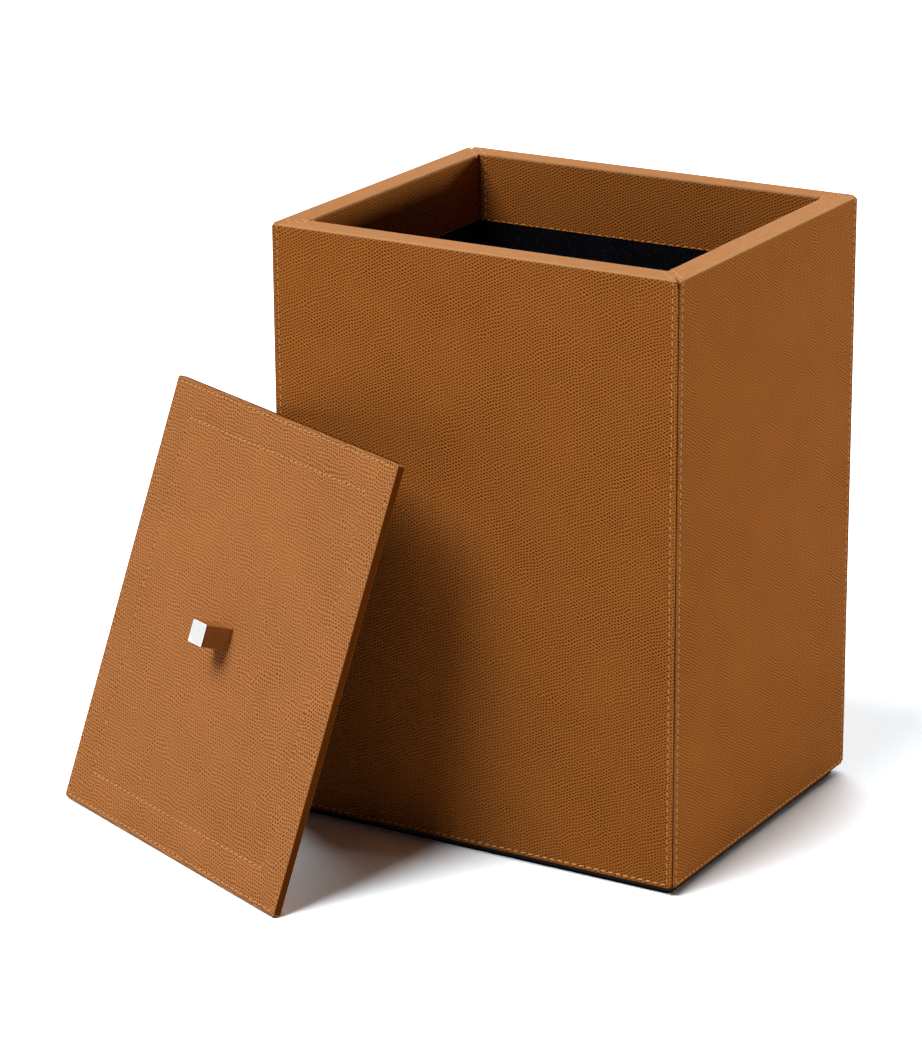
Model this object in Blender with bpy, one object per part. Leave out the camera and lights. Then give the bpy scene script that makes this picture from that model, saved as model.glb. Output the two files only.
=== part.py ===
"""Leather storage box with a lift-off lid, modelled as the separate pieces it is made from.

Metres, +Z up. The origin is the middle of the box's footprint, on the surface it stands on,
with the front wall towards -Y. The lid is off and leans on the box's front left corner.
"""

import math

import bmesh
import bpy
from mathutils import Vector

# Box, over its leather
BOX_WIDTH = 0.219
BOX_DEPTH = 0.186
SHELL_HEIGHT = 0.297

# What a wall is made of, from its outer face inwards
LEATHER = 0.0012
WALL_BOARD = 0.0102
LINING = 0.0009
FIT_GAP = 0.0003
RIM_RADIUS = 0.0024
FOOT_RADIUS = 0.0015
BAND_DEPTH = 0.0342

# The leather's turned edges, where two covers meet in a groove
SEAM_WIDTH = 0.0018
SEAM_SINK = 0.0007

# Floor of the box
BOTTOM_BOARD = 0.0080
FLOOR_PAD = 0.0018
PAD_CORNER_RADIUS = 0.0009
PAD_EDGE_RADIUS = 0.0008

# Base under the box
BASE_HEIGHT = 0.0040
BASE_INSET = 0.0040
BASE_CORNER_RADIUS = 0.0030
FELT = 0.0009

# Lid
LID_OVERHANG = 0.0007
LID_LEATHER = 0.0008
LID_BOARD = 0.0020
LID_CORNER_RADIUS = 0.0018
LID_EDGE_RADIUS = 0.0011

# Locating panel under the lid
PANEL_CLEARANCE = 0.0010
PANEL_BOARD = 0.0037
PANEL_CLOTH = 0.0008
PANEL_CORNER_RADIUS = 0.0030
PANEL_EDGE_RADIUS = 0.0007

# Knob in the middle of the lid
KNOB_SIDE = 0.0112
KNOB_HEIGHT = 0.0166
KNOB_LEATHER = 0.0009
KNOB_CORNER_RADIUS = 0.0005
CAP_THICKNESS = 0.0012
CAP_BEVEL = 0.0002

# Screw that holds the knob
SHANK_RADIUS = 0.0015
SHANK_LENGTH = 0.0140
HEAD_RADIUS = 0.0029
HEAD_HEIGHT = 0.0016
SOCKET_RADIUS = 0.0012
SOCKET_DEPTH = 0.0008
WASHER_RADIUS = 0.0042
WASHER_THICKNESS = 0.0006
PILOT_SPARE = 0.0010
POCKET_CLEARANCE = 0.0008
CUT_OVERRUN = 0.0010

# How the lid leans: turned about the upright, tilted back, and where its top edge meets the corner
LID_TURN = math.radians(-22.6)
LID_TILT = math.radians(20.0)
LID_CONTACT_SHARE = 0.429
LEAN_GAP = 0.0003

# Fineness of rounds, and the tightest bend that still has one
ARC_STEPS = 4
CIRCLE_STEPS = 32
LEAST_BEND = 0.0001

# Worked out from the sizes above
SKIN = LEATHER + FIT_GAP
WALL = 2 * SKIN + WALL_BOARD
BOARD_INNER = SKIN + WALL_BOARD
LINING_OUTER = BOARD_INNER + FIT_GAP
LINING_INNER = LINING_OUTER + LINING
SEAM_GAP = FIT_GAP / math.sqrt(2)
LID_SKIN = LID_LEATHER + FIT_GAP
LID_THICKNESS = 2 * LID_SKIN + LID_BOARD
LID_WIDTH = BOX_DEPTH + 2 * LID_OVERHANG
LID_LENGTH = BOX_WIDTH + 2 * LID_OVERHANG
PANEL_INSET = LID_OVERHANG + WALL + PANEL_CLEARANCE


# Finishes: linear colour, roughness and metallic value

TAN_LEATHER = ((0.46, 0.20, 0.065), 0.50, 0.0)
DARK_LINING = ((0.006, 0.006, 0.012), 0.95, 0.0)
BLACK_PAPER = ((0.010, 0.010, 0.010), 0.70, 0.0)
BLACK_FELT = ((0.010, 0.010, 0.010), 0.95, 0.0)
RAW_BOARD = ((0.50, 0.38, 0.25), 0.80, 0.0)
BRIGHT_METAL = ((0.90, 0.90, 0.92), 0.12, 1.0)
STEEL = ((0.55, 0.55, 0.55), 0.38, 1.0)


def make_material(name, finish):
    """A plain material in a piece's own finish."""
    color, roughness, metallic = finish
    material = bpy.data.materials.new(name)
    material.use_nodes = True
    shader = material.node_tree.nodes["Principled BSDF"]
    shader.inputs["Base Color"].default_value = (*color, 1.0)
    shader.inputs["Roughness"].default_value = roughness
    shader.inputs["Metallic"].default_value = metallic
    return material


# Solids from loops of points

def loft_mesh(name, loops, ring=False):
    """Skins equal loops of points in order. The ends are capped, or in a ring the last joins the first."""
    mesh_data = bmesh.new()
    rows = [[mesh_data.verts.new(point) for point in loop] for loop in loops]
    pairs = list(zip(rows, rows[1:]))
    if ring:
        pairs.append((rows[-1], rows[0]))
    else:
        mesh_data.faces.new(rows[0])
        mesh_data.faces.new(rows[-1])
    count = len(rows[0])
    for lower, upper in pairs:
        for i in range(count):
            j = (i + 1) % count
            mesh_data.faces.new((lower[i], lower[j], upper[j], upper[i]))
    bmesh.ops.recalc_face_normals(mesh_data, faces=mesh_data.faces)
    mesh = bpy.data.meshes.new(name)
    mesh_data.to_mesh(mesh)
    mesh_data.free()
    return mesh


def add_piece(name, mesh, finish, parent):
    """Makes the named object of one piece, with its own material."""
    mesh.materials.append(make_material(name, finish))
    piece = bpy.data.objects.new(name, mesh)
    bpy.context.scene.collection.objects.link(piece)
    piece.parent = parent
    mesh.shade_smooth()
    mesh.set_sharp_from_angle(angle=math.radians(30))
    return piece


def arc(centre_u, centre_z, radius, start, end):
    """Points of an arc in a wall's section, with both ends. Angles are in degrees."""
    points = []
    for step in range(ARC_STEPS + 1):
        angle = math.radians(start + (end - start) * step / ARC_STEPS)
        points.append((centre_u + radius * math.cos(angle), centre_z + radius * math.sin(angle)))
    return points


def rectangle(half_x, half_y, z):
    """A level loop with square corners, anticlockwise."""
    return [(half_x, half_y, z), (-half_x, half_y, z), (-half_x, -half_y, z), (half_x, -half_y, z)]


def rounded_rectangle(half_x, half_y, radius, z):
    """A level loop with round corners, anticlockwise."""
    radius = max(radius, LEAST_BEND)
    points = []
    for turn, sign_x, sign_y in ((0, 1, 1), (90, -1, 1), (180, -1, -1), (270, 1, -1)):
        for u, v in arc(sign_x * (half_x - radius), sign_y * (half_y - radius), radius, turn, turn + 90):
            points.append((u, v, z))
    return points


def circle(radius, z):
    """A level round loop about the Z axis."""
    angles = [math.tau * i / CIRCLE_STEPS for i in range(CIRCLE_STEPS)]
    return [(radius * math.cos(a), radius * math.sin(a), z) for a in angles]


def edge_round(radius):
    """How far in, and how far from the face, each step of a rounded edge lies, from face to side."""
    steps = []
    for step in range(ARC_STEPS + 1):
        angle = math.pi / 2 * step / ARC_STEPS
        steps.append((radius * (1 - math.sin(angle)), radius * (1 - math.cos(angle))))
    return steps


def slab(half_x, half_y, corner, edge, low, high):
    """Loops of a flat sheet with round corners and softly rounded edges, from below up."""
    edge = max(min(edge, (high - low) / 2 - LEAST_BEND, corner - LEAST_BEND), LEAST_BEND)
    rounds = edge_round(edge)
    under = [(inset, low + rise) for inset, rise in rounds]
    over = [(inset, high - drop) for inset, drop in reversed(rounds)]
    return [rounded_rectangle(half_x - i, half_y - i, corner - i, z) for i, z in under + over]


# A wall's section: u runs inwards from the outer face, z up from the leather's lower edge

def shell_path(offset, band_end):
    """The leather's outer path, moved inwards by offset: foot, outer face, rim and inner band."""
    foot = max(FOOT_RADIUS, offset + LEAST_BEND)
    rim = max(RIM_RADIUS, offset + LEAST_BEND)
    path = arc(foot, foot, foot - offset, -90, -180)
    path += arc(rim, SHELL_HEIGHT - rim, rim - offset, 180, 90)
    path += arc(WALL - rim, SHELL_HEIGHT - rim, rim - offset, 90, 0)
    path.append((WALL - offset, band_end))
    return path


def cover_section(sink):
    """The leather's closed section, hem to band, with its outer skin sunk by sink near a seam."""
    band_end = SHELL_HEIGHT - BAND_DEPTH
    outer = [(BOARD_INNER, sink)] + shell_path(sink, band_end)
    inner = [(BOARD_INNER, LEATHER)] + shell_path(LEATHER, band_end)
    return outer + inner[::-1]


def board_section():
    """The wall board's closed section, which the leather is wrapped round."""
    return shell_path(SKIN, SKIN)


def lining_section():
    """The wall lining's closed section, from the bottom board up to the leather band."""
    low = BOTTOM_BOARD + FIT_GAP
    high = SHELL_HEIGHT - BAND_DEPTH - FIT_GAP
    return [(LINING_OUTER, low), (LINING_OUTER, high), (LINING_INNER, high), (LINING_INNER, low)]


def mitred_loops(stations, length):
    """Section loops along a wall, cut square to the corner's diagonal at both ends.

    Each station is a section and its distance in from the mitre. The wall runs along X,
    its outer face at y = 0 with the inside towards +Y."""
    half = length / 2
    loops = []
    for section, inset in stations:
        loops.append([(-half + u + SEAM_GAP + inset, u, z) for u, z in section])
    for section, inset in reversed(stations):
        loops.append([(half - u - SEAM_GAP - inset, u, z) for u, z in section])
    return loops


def seam_easing():
    """How deep the skin is sunk, and how far in from the mitre, at steps along a turned edge."""
    easing = []
    for step in range(ARC_STEPS):
        share = 1 - math.cos(math.pi / 2 * step / (ARC_STEPS - 1))
        easing.append((SEAM_SINK * (1 - math.sqrt(1 - (1 - share) ** 2)), SEAM_WIDTH * share))
    return easing


# The four walls: name, length, how far the outer face is from the middle, and its turn

WALLS = (
    ("front", BOX_WIDTH, BOX_DEPTH / 2, 0.0),
    ("right", BOX_DEPTH, BOX_WIDTH / 2, math.pi / 2),
    ("back", BOX_WIDTH, BOX_DEPTH / 2, math.pi),
    ("left", BOX_DEPTH, BOX_WIDTH / 2, -math.pi / 2),
)


def place_on_side(piece, distance, turn):
    """Puts a wall piece on its side of the box, standing on the base."""
    piece.rotation_euler = (0, 0, turn)
    piece.location = Vector((distance * math.sin(turn), -distance * math.cos(turn), BASE_HEIGHT))


def build_walls(parent):
    """Boards, leather covers and linings of the four walls."""
    cover_stations = [(cover_section(sink), inset) for sink, inset in seam_easing()]
    for side, length, distance, turn in WALLS:
        board = loft_mesh(side + "_board", mitred_loops([(board_section(), 0)], length))
        cover = loft_mesh(side + "_cover", mitred_loops(cover_stations, length))
        lining = loft_mesh(side + "_lining", mitred_loops([(lining_section(), 0)], length))
        pieces = (
            add_piece(side + "_board", board, RAW_BOARD, parent),
            add_piece(side + "_cover", cover, TAN_LEATHER, parent),
            add_piece(side + "_lining", lining, DARK_LINING, parent),
        )
        for piece in pieces:
            place_on_side(piece, distance, turn)


def build_floor(parent):
    """Bottom board between the walls, and the lined pad on it between the wall linings."""
    board_x = BOX_WIDTH / 2 - BOARD_INNER - FIT_GAP
    board_y = BOX_DEPTH / 2 - BOARD_INNER - FIT_GAP
    loops = [rectangle(board_x, board_y, z) for z in (BASE_HEIGHT, BASE_HEIGHT + BOTTOM_BOARD)]
    add_piece("bottom_board", loft_mesh("bottom_board", loops), RAW_BOARD, parent)
    pad_x = BOX_WIDTH / 2 - LINING_INNER - FIT_GAP
    pad_y = BOX_DEPTH / 2 - LINING_INNER - FIT_GAP
    low = BASE_HEIGHT + BOTTOM_BOARD + FIT_GAP
    loops = slab(pad_x, pad_y, PAD_CORNER_RADIUS, PAD_EDGE_RADIUS, low, low + FLOOR_PAD)
    add_piece("floor_pad", loft_mesh("floor_pad", loops), DARK_LINING, parent)


def build_base(parent):
    """Dark base board and its felt, set in from the leather's lower edge."""
    half_x = BOX_WIDTH / 2 - BASE_INSET
    half_y = BOX_DEPTH / 2 - BASE_INSET
    board_low = FELT + FIT_GAP
    board_high = BASE_HEIGHT - FIT_GAP
    loops = [rounded_rectangle(half_x, half_y, BASE_CORNER_RADIUS, z) for z in (board_low, board_high)]
    add_piece("base_board", loft_mesh("base_board", loops), BLACK_PAPER, parent)
    loops = [rounded_rectangle(half_x, half_y, BASE_CORNER_RADIUS, z) for z in (0, FELT)]
    add_piece("base_felt", loft_mesh("base_felt", loops), BLACK_FELT, parent)


# Lid, drawn lying flat: x along its width, y along its length, z = 0 at its underside

def cut_bore(piece, radius, low, high, parent):
    """Cuts a round bore on the lid's middle line through a piece."""
    mesh = loft_mesh(piece.name + "_cutter", [circle(radius, low), circle(radius, high)])
    cutter = bpy.data.objects.new(mesh.name, mesh)
    bpy.context.scene.collection.objects.link(cutter)
    cutter.parent = parent
    cutter.hide_render = True
    cutter.display_type = "WIRE"
    cut = piece.modifiers.new("bore", "BOOLEAN")
    cut.object = cutter
    cut.operation = "DIFFERENCE"
    cut.solver = "EXACT"


def lid_loop(inset, z):
    """The lid's outline drawn in by inset, at height z."""
    half_x = LID_WIDTH / 2 - inset
    half_y = LID_LENGTH / 2 - inset
    return rounded_rectangle(half_x, half_y, LID_CORNER_RADIUS - inset, z)


def build_lid_sheet(parent):
    """The lid's stiff board, and the leather that covers it and turns under as a hem."""
    board = loft_mesh("lid_board", [lid_loop(LID_SKIN, LID_SKIN), lid_loop(LID_SKIN, LID_SKIN + LID_BOARD)])
    board = add_piece("lid_board", board, RAW_BOARD, parent)
    bore = SHANK_RADIUS + FIT_GAP
    cut_bore(board, bore, LID_SKIN - CUT_OVERRUN, LID_SKIN + LID_BOARD + CUT_OVERRUN, parent)

    hem_inner = PANEL_INSET - FIT_GAP
    rounds = edge_round(LID_EDGE_RADIUS)
    loops = [lid_loop(inset, LID_THICKNESS - drop) for inset, drop in rounds]
    loops += [lid_loop(inset, rise) for inset, rise in reversed(rounds)]
    loops.append(lid_loop(hem_inner, 0))
    loops.append(lid_loop(hem_inner, LID_LEATHER))
    loops.append(lid_loop(LID_LEATHER, LID_LEATHER))
    loops.append(lid_loop(LID_LEATHER, LID_THICKNESS - LID_LEATHER))
    cover = add_piece("lid_cover", loft_mesh("lid_cover", loops), TAN_LEATHER, parent)
    cut_bore(cover, bore, LID_THICKNESS - LID_LEATHER - CUT_OVERRUN, LID_THICKNESS + CUT_OVERRUN, parent)


def build_panel(parent):
    """Locating panel under the lid: a board with a pocket for the screw, in a fabric tray."""
    half_x = LID_WIDTH / 2 - PANEL_INSET
    half_y = LID_LENGTH / 2 - PANEL_INSET
    top = LID_LEATHER
    board_low = top - PANEL_BOARD
    cloth_low = board_low - FIT_GAP - PANEL_CLOTH
    wrap = PANEL_CLOTH + FIT_GAP
    corner = PANEL_CORNER_RADIUS - wrap
    loops = [rounded_rectangle(half_x - wrap, half_y - wrap, corner, z) for z in (board_low, top)]
    board = add_piece("panel_board", loft_mesh("panel_board", loops), RAW_BOARD, parent)
    pocket = WASHER_RADIUS + POCKET_CLEARANCE
    cut_bore(board, pocket, board_low - CUT_OVERRUN, top + CUT_OVERRUN, parent)

    corner = PANEL_CORNER_RADIUS - PANEL_CLOTH
    inner_x = half_x - PANEL_CLOTH
    inner_y = half_y - PANEL_CLOTH
    loops = [rounded_rectangle(inner_x, inner_y, corner, z) for z in (cloth_low + PANEL_CLOTH, top)]
    loops.append(rounded_rectangle(half_x, half_y, PANEL_CORNER_RADIUS, top))
    for inset, rise in reversed(edge_round(PANEL_EDGE_RADIUS)):
        corner = PANEL_CORNER_RADIUS - inset
        loops.append(rounded_rectangle(half_x - inset, half_y - inset, corner, cloth_low + rise))
    tray = loft_mesh("panel_cover", loops)
    add_piece("panel_cover", tray, DARK_LINING, parent)


def build_knob(parent):
    """Knob: wooden core, leather sleeve and metal cap, held by a screw and washer from below."""
    foot = LID_THICKNESS + FIT_GAP
    cap_top = LID_THICKNESS + KNOB_HEIGHT
    cap_low = cap_top - CAP_THICKNESS
    block_top = cap_low - FIT_GAP
    half = KNOB_SIDE / 2
    sleeve_half = half - KNOB_LEATHER
    core_half = sleeve_half - FIT_GAP
    pilot = SHANK_RADIUS + FIT_GAP

    washer_top = LID_LEATHER
    washer_low = washer_top - WASHER_THICKNESS
    head_top = washer_low - FIT_GAP
    head_low = head_top - HEAD_HEIGHT
    shank_top = head_top + SHANK_LENGTH

    loops = [rectangle(core_half, core_half, z) for z in (foot, block_top)]
    core = add_piece("knob_core", loft_mesh("knob_core", loops), RAW_BOARD, parent)
    cut_bore(core, pilot, foot - CUT_OVERRUN, shank_top + PILOT_SPARE, parent)

    loops = [
        rounded_rectangle(half, half, KNOB_CORNER_RADIUS, foot),
        rounded_rectangle(half, half, KNOB_CORNER_RADIUS, block_top),
        rounded_rectangle(sleeve_half, sleeve_half, KNOB_CORNER_RADIUS, block_top),
        rounded_rectangle(sleeve_half, sleeve_half, KNOB_CORNER_RADIUS, foot),
    ]
    sleeve = loft_mesh("knob_sleeve", loops, ring=True)
    add_piece("knob_sleeve", sleeve, TAN_LEATHER, parent)

    loops = slab(half, half, KNOB_CORNER_RADIUS, CAP_BEVEL, cap_low, cap_top)
    add_piece("knob_cap", loft_mesh("knob_cap", loops), BRIGHT_METAL, parent)

    screw = loft_mesh("knob_screw", [
        circle(SOCKET_RADIUS, head_low + SOCKET_DEPTH),
        circle(SOCKET_RADIUS, head_low),
        circle(HEAD_RADIUS, head_low),
        circle(HEAD_RADIUS, head_top),
        circle(SHANK_RADIUS, head_top),
        circle(SHANK_RADIUS, shank_top),
    ])
    add_piece("knob_screw", screw, STEEL, parent)

    washer = loft_mesh("knob_washer", [
        circle(WASHER_RADIUS, washer_low),
        circle(WASHER_RADIUS, washer_top),
        circle(pilot, washer_top),
        circle(pilot, washer_low),
    ], ring=True)
    add_piece("knob_washer", washer, STEEL, parent)


def corner_reach(direction):
    """How far the box's eased upright corner reaches along a level direction, from its sharp corner."""
    reaches = []
    for sink, inset in seam_easing():
        near = sink
        far = sink + SEAM_GAP + inset
        reaches.append(Vector((far, near, 0)).dot(direction))
        reaches.append(Vector((near, far, 0)).dot(direction))
    return max(reaches)


def lean_lid(lid):
    """Stands the lid on its short edge and leans its top back edge on the box's front left corner."""
    lid.rotation_euler = (math.pi / 2 - LID_TILT, 0, LID_TURN)
    up = Vector((0, 0, 1))
    across = Vector((math.cos(LID_TURN), math.sin(LID_TURN), 0))
    level_back = Vector((-math.sin(LID_TURN), math.cos(LID_TURN), 0))
    along = up * math.cos(LID_TILT) + level_back * math.sin(LID_TILT)
    edge_relief = LID_EDGE_RADIUS * (math.cos(LID_TILT) + math.sin(LID_TILT) - 1)
    lean = edge_relief - corner_reach(-level_back) - LEAN_GAP
    touch = Vector((-BOX_WIDTH / 2, -BOX_DEPTH / 2, LID_LENGTH * math.cos(LID_TILT)))
    top_edge = touch + level_back * lean - up * edge_relief
    lid.location = top_edge + across * (0.5 - LID_CONTACT_SHARE) * LID_WIDTH - along * LID_LENGTH / 2


def main():
    for old in list(bpy.data.objects):
        bpy.data.objects.remove(old)
    box = bpy.data.objects.new("box_carrier", None)
    lid = bpy.data.objects.new("lid_carrier", None)
    for carrier in (box, lid):
        bpy.context.scene.collection.objects.link(carrier)
    build_walls(box)
    build_floor(box)
    build_base(box)
    build_lid_sheet(lid)
    build_panel(lid)
    build_knob(lid)
    lean_lid(lid)
    bpy.context.view_layer.update()


main()
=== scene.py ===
"""Looks of a leather storage box and its lift-off lid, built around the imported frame.

The file is laid out as a Blender add-on and is run as a script. Everything is in metres in the
frame's own axes: +Z up, the front wall towards -Y, the origin under the middle of the box.
"""

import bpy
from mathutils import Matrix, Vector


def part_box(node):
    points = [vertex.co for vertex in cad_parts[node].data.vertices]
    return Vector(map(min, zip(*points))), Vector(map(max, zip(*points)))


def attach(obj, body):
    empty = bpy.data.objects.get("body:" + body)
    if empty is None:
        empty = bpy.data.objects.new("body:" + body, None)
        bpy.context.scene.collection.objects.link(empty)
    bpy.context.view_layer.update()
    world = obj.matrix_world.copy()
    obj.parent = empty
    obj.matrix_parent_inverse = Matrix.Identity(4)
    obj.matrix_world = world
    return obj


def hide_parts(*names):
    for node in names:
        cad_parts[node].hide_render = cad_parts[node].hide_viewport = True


bl_info = {
    "name": "Leather Storage Box",
    "version": (1, 0, 0),
    "blender": (4, 5, 0),
    "location": "3D View > Sidebar > Leather Box",
    "description": "Dresses a storage box in pebbled leather, thread and suede",
    "category": "Add Mesh",
}

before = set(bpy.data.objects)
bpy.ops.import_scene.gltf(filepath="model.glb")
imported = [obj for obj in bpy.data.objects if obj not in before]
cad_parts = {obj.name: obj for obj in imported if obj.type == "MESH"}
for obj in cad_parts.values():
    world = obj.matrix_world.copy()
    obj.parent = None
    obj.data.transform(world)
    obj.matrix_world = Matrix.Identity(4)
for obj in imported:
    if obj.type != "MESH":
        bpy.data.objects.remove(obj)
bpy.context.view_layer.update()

import functools
import math
import random

import bmesh
import bpy
from mathutils import Matrix, Vector

# How the lid leans, as the frame has it: turned about the upright and tilted back
LID_TURN = math.radians(-22.6)
LID_TILT = math.radians(20.0)


def linear(hex_colour):
    """An sRGB hex colour as linear values."""
    values = []
    for start in (0, 2, 4):
        share = int(hex_colour[start:start + 2], 16) / 255
        values.append(share / 12.92 if share <= 0.04045 else ((share + 0.055) / 1.055) ** 2.4)
    return values


def number_property(name, description, default, **settings):
    """A number that a user can change."""
    return bpy.props.FloatProperty(name=name, description=description, default=default, **settings)


def length_property(name, description, default):
    """A size that a user can change, in metres."""
    return number_property(name, description, default, min=0, unit="LENGTH", precision=5)


def angle_property(name, description, degrees):
    """An angle that a user can change."""
    return number_property(name, description, math.radians(degrees), subtype="ANGLE")


def colour_property(name, description, hex_colour):
    """A colour that a user can change."""
    return bpy.props.FloatVectorProperty(
        name=name, description=description, default=linear(hex_colour), min=0, max=1, subtype="COLOR"
    )


class LeatherBoxSizes(bpy.types.PropertyGroup):
    """Sizes of the leather's edges, its grain and the sewing."""

    leather: length_property("Leather", "Thickness of the leather on the walls", 0.0011)
    rim_round: length_property("Rim round", "Radius of the fold over the rim", 0.0010)
    corner_pull: length_property("Corner pull", "How far the corners of rim and foot are pulled in", 0.0013)
    foot_round: length_property("Foot round", "Radius of the fold under the foot", 0.0015)
    seam_reach: length_property("Seam reach", "Half width of the groove at an upright seam", 0.0008)
    seam_sink: length_property("Seam sink", "Depth of the groove at an upright seam", 0.0008)
    seam_round: length_property("Seam round", "Radius of the groove's shoulders", 0.00025)
    valley_width: length_property("Valley width", "Width of the dip that a row of thread pulls in", 0.0020)
    valley_depth: length_property("Valley depth", "Depth of the dip under a row of thread", 0.00020)
    stitch_pitch: length_property("Stitch pitch", "Distance from one stitch to the next", 0.0040)
    stitch_length: length_property("Stitch length", "Visible length of one stitch", 0.0030)
    thread: length_property("Thread", "Thickness of the thread", 0.00058)
    corner_row: length_property("Corner row", "Distance of the upright rows from the seam", 0.0034)
    foot_row: length_property("Foot row", "Height of the lowest row over the leather's edge", 0.0022)
    band_row: length_property("Band row", "Height of the inner row over the band's edge", 0.0004)
    lid_row: length_property("Lid row", "Distance of the lid's outer row from its edge", 0.00225)
    lid_inner_row: length_property("Lid inner row", "Distance of the lid's inner row from its edge", 0.0179)
    lid_leather: length_property("Lid leather", "Thickness of the leather on the lid", 0.0008)
    lid_corner: length_property("Lid corner", "Radius of the lid's corners", 0.0018)
    lid_edge: length_property("Lid edge", "Radius of the lid's edges", 0.0004)
    knob_corner: length_property("Knob corner", "Radius of the knob's upright edges", 0.0005)
    cap_bevel: length_property("Cap bevel", "Radius of the edges round the cap's two faces", 0.00045)
    grain_depth: length_property("Grain depth", "Depth of the pits", 0.00045)


class LeatherBoxColours(bpy.types.PropertyGroup):
    """Colours of the finishes."""

    wall_ridge: colour_property("Wall ridges", "Ridges of the grain on the walls and knob", "AA672D")
    # Pit colour: partly dye gathered in the pits, partly painted shade in them
    wall_pit_dye_and_shade: colour_property("Wall pits", "Pits of the grain on the walls and knob", "5A2104")
    # Painted light: the lid's colours are the walls' leather made a little lighter
    lid_ridge: colour_property("Lid ridges", "Ridges of the grain on the lid", "B67846")
    # Pit colour: partly dye gathered in the pits, partly painted shade in them
    lid_pit_dye_and_shade: colour_property("Lid pits", "Pits of the grain on the lid", "733814")
    # Partly the smooth leather's own colour, partly painted sheen: paler and less saturated where the rim
    # is lit
    stretched_leather_and_sheen: colour_property("Stretched leather", "Leather pulled smooth over the rim", "A9764A")
    # Painted highlight: a paler colour along the rim's outer fold, where the key light glints
    fold_highlight: colour_property("Folded leather", "Leather pulled pale on the rim's outer fold", "C6935C")
    # Painted shade: the dark colour laid in the grooves of the upright seams
    seam_shade: colour_property("Seam edge", "Leather deep in the upright seams", "481A04")
    # Also the painted shade on the cap's lower half, where it meets the leather
    lid_edge: colour_property("Lid edge", "Dye on the lid's cut edges and the cap's joint", "5A2B05")
    # Painted shade of the needle holes
    needle_hole_shade: colour_property("Needle holes", "Holes between the stitches", "3A1D08")
    thread: colour_property("Thread", "Sewing thread", "E6AE74")
    suede: colour_property("Suede", "Lining of the box and of the lid's panel", "05050A")
    suede_fibre: colour_property("Suede fibres", "Paler fibre ends in the lining", "32323C")
    black_paper: colour_property("Black paper", "Paper round the base board", "0B0B0C")
    felt: colour_property("Felt", "Felt under the base", "141415")
    board: colour_property("Board", "Raw fibreboard inside walls, lid and knob", "B8976B")
    metal: colour_property("Metal", "Polished cap of the knob", "F0F0F0")
    zinc: colour_property("Zinc", "Plating of the screw and its washer", "B9BBC0")
    floor: colour_property("Floor", "Floor of the studio", "CBCBCB")


class LeatherBoxStudio(bpy.types.PropertyGroup):
    """Camera and light of the studio."""

    camera_place: bpy.props.FloatVectorProperty(
        name="Camera place", description="Where the camera stands",
        default=(0.89187, -1.58902, 0.74986), subtype="TRANSLATION",
    )
    heading: angle_property("Heading", "Turn of the camera to the left of +Y", 30.9535)
    pitch: angle_property("Pitch", "How far the camera looks down", 18.4634)
    roll: angle_property("Roll", "Turn of the picture about its middle", -0.4239)
    lens: number_property("Lens", "Focal length on a 36 mm sensor, in millimetres", 133.78)
    key: number_property("Key", "Strength of the key light", 3.4)
    back: number_property("Back", "Strength of the back light", 2.2)
    right: number_property("Right", "Strength of the low right light", 1.35)
    ambient: number_property("Ambient", "Strength of the light from all round", 0.015)


def sizes():
    """The sizes set for the scene."""
    return bpy.context.scene.leather_box_sizes


def colours():
    """The colours set for the scene."""
    return bpy.context.scene.leather_box_colours


# Working with pieces as by hand

def only(piece):
    """Makes one piece the selected and active one."""
    bpy.ops.object.select_all(action="DESELECT")
    piece.select_set(True)
    bpy.context.view_layer.objects.active = piece


def start_editing(piece):
    """Opens one piece in edit mode."""
    only(piece)
    bpy.ops.object.mode_set(mode="EDIT")


def stop_editing():
    """Goes back to object mode."""
    bpy.ops.object.mode_set(mode="OBJECT")


def pick(kind, test):
    """In edit mode, selects just the vertices, edges or faces that pass a test."""
    bpy.ops.mesh.select_mode(type=kind)
    bpy.ops.mesh.select_all(action="DESELECT")
    mesh = bpy.context.edit_object.data
    data = bmesh.from_edit_mesh(mesh)
    for part in {"VERT": data.verts, "EDGE": data.edges, "FACE": data.faces}[kind]:
        if test(part):
            part.select_set(True)
    bmesh.update_edit_mesh(mesh)


def bisect(place, normal, clear=False):
    """In edit mode, cuts the whole piece with a plane, and may clear what lies past it."""
    bpy.ops.mesh.select_mode(type="VERT")
    bpy.ops.mesh.select_all(action="SELECT")
    bpy.ops.mesh.bisect(plane_co=place, plane_no=normal, clear_outer=clear, use_fill=clear)


def bevel_picked(radius, steps):
    """In edit mode, rounds the picked edges."""
    bpy.ops.mesh.bevel(offset=radius, segments=steps, affect="EDGES", clamp_overlap=True)


def near(value, target, tolerance=0.00002):
    """Whether two lengths are the same, but for rounding."""
    return abs(value - target) < tolerance


def face_corners(mesh, polygon):
    """A face's corners: the loop, its vertex's index and where that lies."""
    for loop, index in zip(polygon.loop_indices, polygon.vertices):
        yield loop, index, mesh.vertices[index].co


def add_block(width, depth, low, high):
    """A block over the origin, from one height to another."""
    bpy.ops.mesh.primitive_cube_add(size=1, location=(0, 0, (low + high) / 2))
    block = bpy.context.object
    block.scale = (width, depth, high - low)
    bpy.ops.object.transform_apply()
    return block


def round_uprights(radius, steps):
    """In edit mode, rounds a block's upright edges."""
    pick("EDGE", lambda e: not near(e.verts[0].co.z, e.verts[1].co.z))
    bevel_picked(radius, steps)


def round_outline(radius, steps):
    """In edit mode, rounds the edges round a block's top and bottom."""
    pick("EDGE", lambda e: near(e.verts[0].co.z, e.verts[1].co.z))
    bevel_picked(radius, steps)


def thicken(sheet, thickness):
    """Gives a sheet its thickness, inwards."""
    only(sheet)
    modifier = sheet.modifiers.new("thickness", "SOLIDIFY")
    modifier.thickness = thickness
    modifier.offset = -1
    modifier.use_even_offset = True
    bpy.ops.object.modifier_apply(modifier=modifier.name)


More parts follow.
